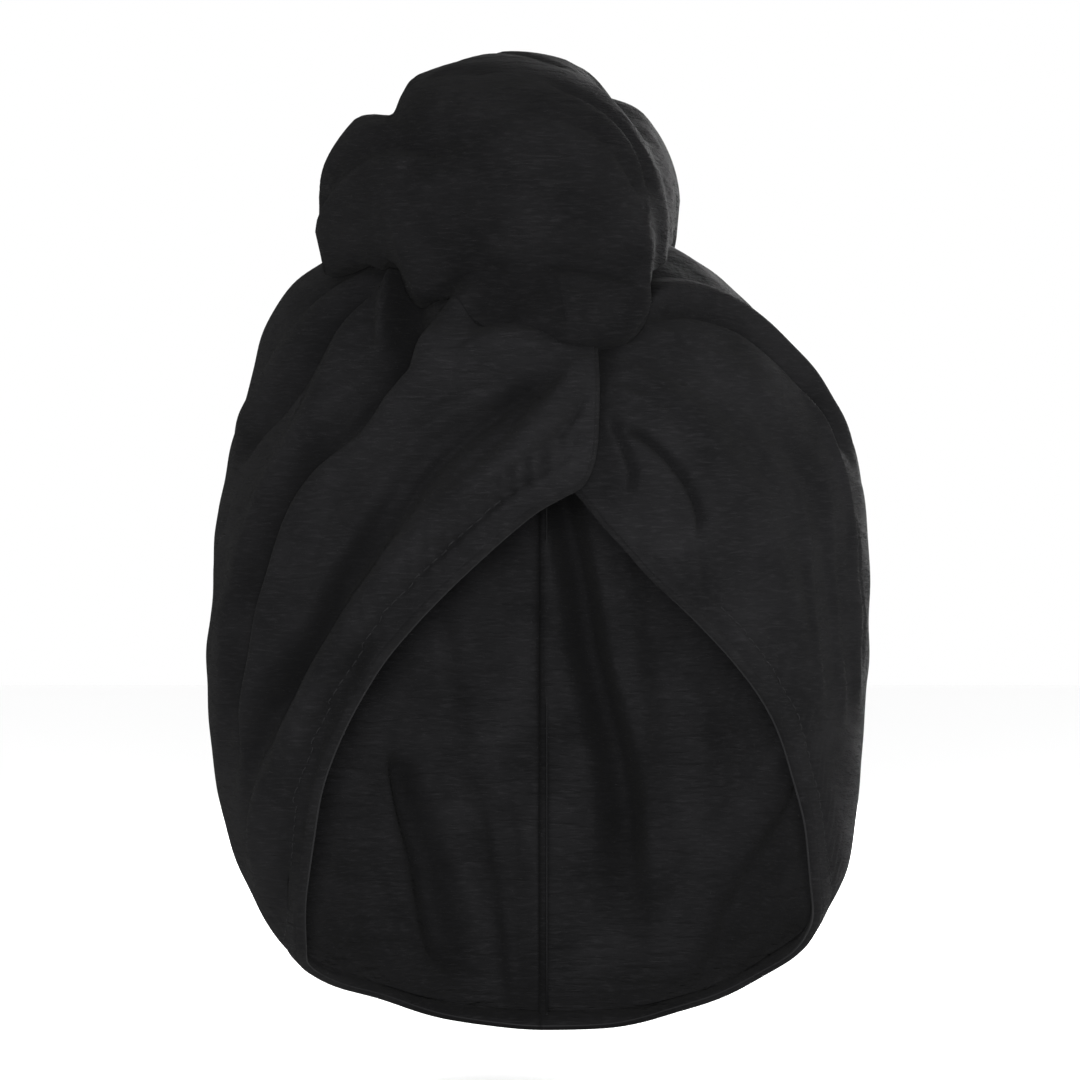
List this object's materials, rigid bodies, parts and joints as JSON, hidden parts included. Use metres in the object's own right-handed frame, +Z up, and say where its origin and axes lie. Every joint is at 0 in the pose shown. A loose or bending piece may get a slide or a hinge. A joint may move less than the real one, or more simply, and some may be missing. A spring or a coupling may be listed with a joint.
{
  "type": "hair wrap",
  "caption": "Soft towel hair wrap: a two-panel hood with an open face, crossed in front, and a twisted tail laid back over the crown and buttoned at the nape.",
  "frame": {"origin": "inside top of the hood, where the crown of the head touches it", "axes": "+Z up, -Y out of the face opening, +X towards the right of the picture (the wearer's left)"},
  "size_m": [0.2024, 0.2617, 0.302],
  "materials": {
    "towelling": "matte black microfibre towelling",
    "hem": "the same towelling, folded and sewn",
    "seam": "sewn seam allowance",
    "button": "satin black plastic"
  },
  "bodies": {
    "root": {"hood_left_panel": "towelling", "hood_right_panel": "towelling", "left_edge_hem": "hem", "right_edge_hem": "hem", "back_seam": "seam", "twisted_tail": "towelling", "nape_button": "button"}
  },
  "joints": []
}
